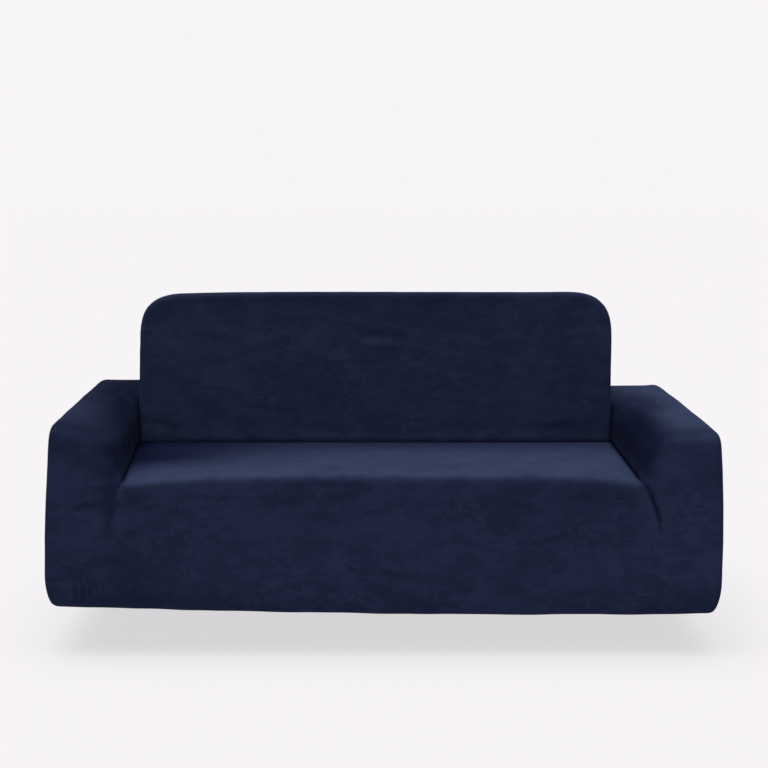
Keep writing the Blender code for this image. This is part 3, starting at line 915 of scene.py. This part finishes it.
def knit_back():
    """The wrong side of the velvet: its flat, dull knitted ground."""
    finish = Finish("knit_back")
    rows = finish.noise(finish.place((1.0, 1.0, 0.35)), 620.0)
    finish.set(
        Base_Color=finish.blend(rows, KNIT_DARK, KNIT_PALE),
        Roughness=0.95,
        Specular_IOR_Level=0.10,
        Normal=finish.bump(rows, PILE_RELIEF, strength=0.5),
    )
    return finish.material


def under_back_top():
    """The cover's own origin: the middle of the sofa's top, on which the cloth of the back lies."""
    middle = Vector(((INNER["left"] + INNER["right"]) / 2, (BACK_FRONT + DEPTH) / 2, BACK_TOP))
    fall = float(BACK_FALL * share(middle.y, BACK_FRONT + BACK_EDGE, DEPTH))
    return middle - Vector((0, 0, fall + THICKNESS))


def dress_cover(origin):
    form = Form(smooth_form())
    from_seam, shade = sink_into_tucks(form)
    shade = rumple(form, from_seam, shade)
    pattern = {
        "from_seam": from_seam,
        # painted shade and painted light for the velvet's colour
        "painted_shade": painted_shade(form, shade),
        "stretched_flat": np.clip(form.normals[:, 2], 0, 1),
    }
    materials = [crushed_velvet(), knit_back()]
    for panel, (name, (node, width, length, area)) in enumerate(PANELS.items()):
        obj = sheet_of(name, form, panel, pattern, np.array(origin))
        for material in materials:
            obj.data.materials.append(material)
        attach(obj, "root")
        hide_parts(node)


# The room and its floor
PALE = (0.930, 0.905, 0.930)
SOFT_LIGHTS = [  # direction each comes from, its brightness, how fast it fades away from there, and its tint
    ((-0.10, -0.10, 0.99), 11.4, 10, (1.00, 0.985, 0.84)),
    ((-0.05, -0.99, 0.10), 0.48, 3, PALE),
    ((0.00, -0.60, -0.80), 0.56, 2, PALE),
    ((0.00, 0.95, -0.31), 0.80, 5, PALE),
]
ROOM_WALLS = 0.05
FLOOR_LEVEL = -0.104
FLOOR_SIZE = 60
LIT_FLOOR = 0.72  # share of the floor's brightness that it gives by itself
FLOOR_LIGHT = (6.25, 6.22, 5.38)  # light that the open floor gets from the room: red, green and blue

# The camera
LENS = 70.514
SENSOR = 36
FRAME_SHIFT = 0.04
EYE = (-0.0747, -3.629, 1.1426)
EYE_DOWN = 8.62  # degrees below level


def pale_floor():
    """A plain pale floor, lit from below as well, so that the shade under the hem stays faint."""
    finish = Finish("pale_floor")
    held_back = [(1 - LIT_FLOOR) * np.pi / light for light in FLOOR_LIGHT]
    finish.set(
        Base_Color=colour(*(tone * part for tone, part in zip(PALE, held_back))),
        Roughness=1.0,
        Specular_IOR_Level=0.0,
        Emission_Color=colour(*PALE),
        Emission_Strength=LIT_FLOOR,
    )
    return finish.material


def soft_room():
    """A pale room with one broad soft light overhead and weaker ones in front, from below and from behind."""
    world = bpy.data.worlds.new("soft_room")
    world.use_nodes = True
    room = Nodes(world.node_tree)
    direction = room.node("ShaderNodeTexCoord").outputs["Generated"]
    lighting = Vector(PALE) * ROOM_WALLS
    for towards, brightness, focus, tint in SOFT_LIGHTS:
        aim = Vector(towards).normalized()
        facing = room.node("ShaderNodeVectorMath", {"operation": "DOT_PRODUCT"}, [direction, aim])
        glow = Value(room, facing.outputs["Value"]).maths("MAXIMUM", 0.0) ** focus
        light = {0: Vector(tint) * brightness, "Scale": glow}
        tinted = room.node("ShaderNodeVectorMath", {"operation": "SCALE"}, light).outputs[0]
        lighting = room.node("ShaderNodeVectorMath", {"operation": "ADD"}, [tinted, lighting]).outputs[0]
    seen = room.node("ShaderNodeLightPath").outputs["Is Camera Ray"]
    room.connect(room.blend(seen, lighting, colour(*PALE)), room.tree.nodes["Background"].inputs["Color"])
    return world


def stage_and_light(origin):
    """A pale floor below the hem, soft even light from above and in front, and the camera."""
    scene = bpy.context.scene
    bpy.ops.mesh.primitive_plane_add(size=FLOOR_SIZE, location=(0, 0, FLOOR_LEVEL - origin.z))
    floor = bpy.context.object
    floor.name = "floor"
    floor.data.materials.append(pale_floor())
    floor.visible_diffuse = False
    floor.visible_glossy = False

    scene.world = soft_room()
    scene.view_settings.view_transform = "Standard"

    camera = bpy.data.cameras.new("camera")
    camera.lens = LENS
    camera.sensor_width = SENSOR
    camera.shift_x = FRAME_SHIFT
    eye = bpy.data.objects.new("camera", camera)
    eye.location = Vector(EYE) - origin
    eye.rotation_euler = (math.radians(90 - EYE_DOWN), 0, 0)
    scene.collection.objects.link(eye)
    scene.camera = eye


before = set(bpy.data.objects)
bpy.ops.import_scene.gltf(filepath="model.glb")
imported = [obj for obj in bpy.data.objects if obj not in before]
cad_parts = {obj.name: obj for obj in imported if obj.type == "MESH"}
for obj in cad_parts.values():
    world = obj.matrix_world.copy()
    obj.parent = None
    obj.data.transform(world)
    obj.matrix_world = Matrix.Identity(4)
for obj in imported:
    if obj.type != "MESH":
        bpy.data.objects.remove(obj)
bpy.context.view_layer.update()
origin = under_back_top()
dress_cover(origin)
stage_and_light(origin)
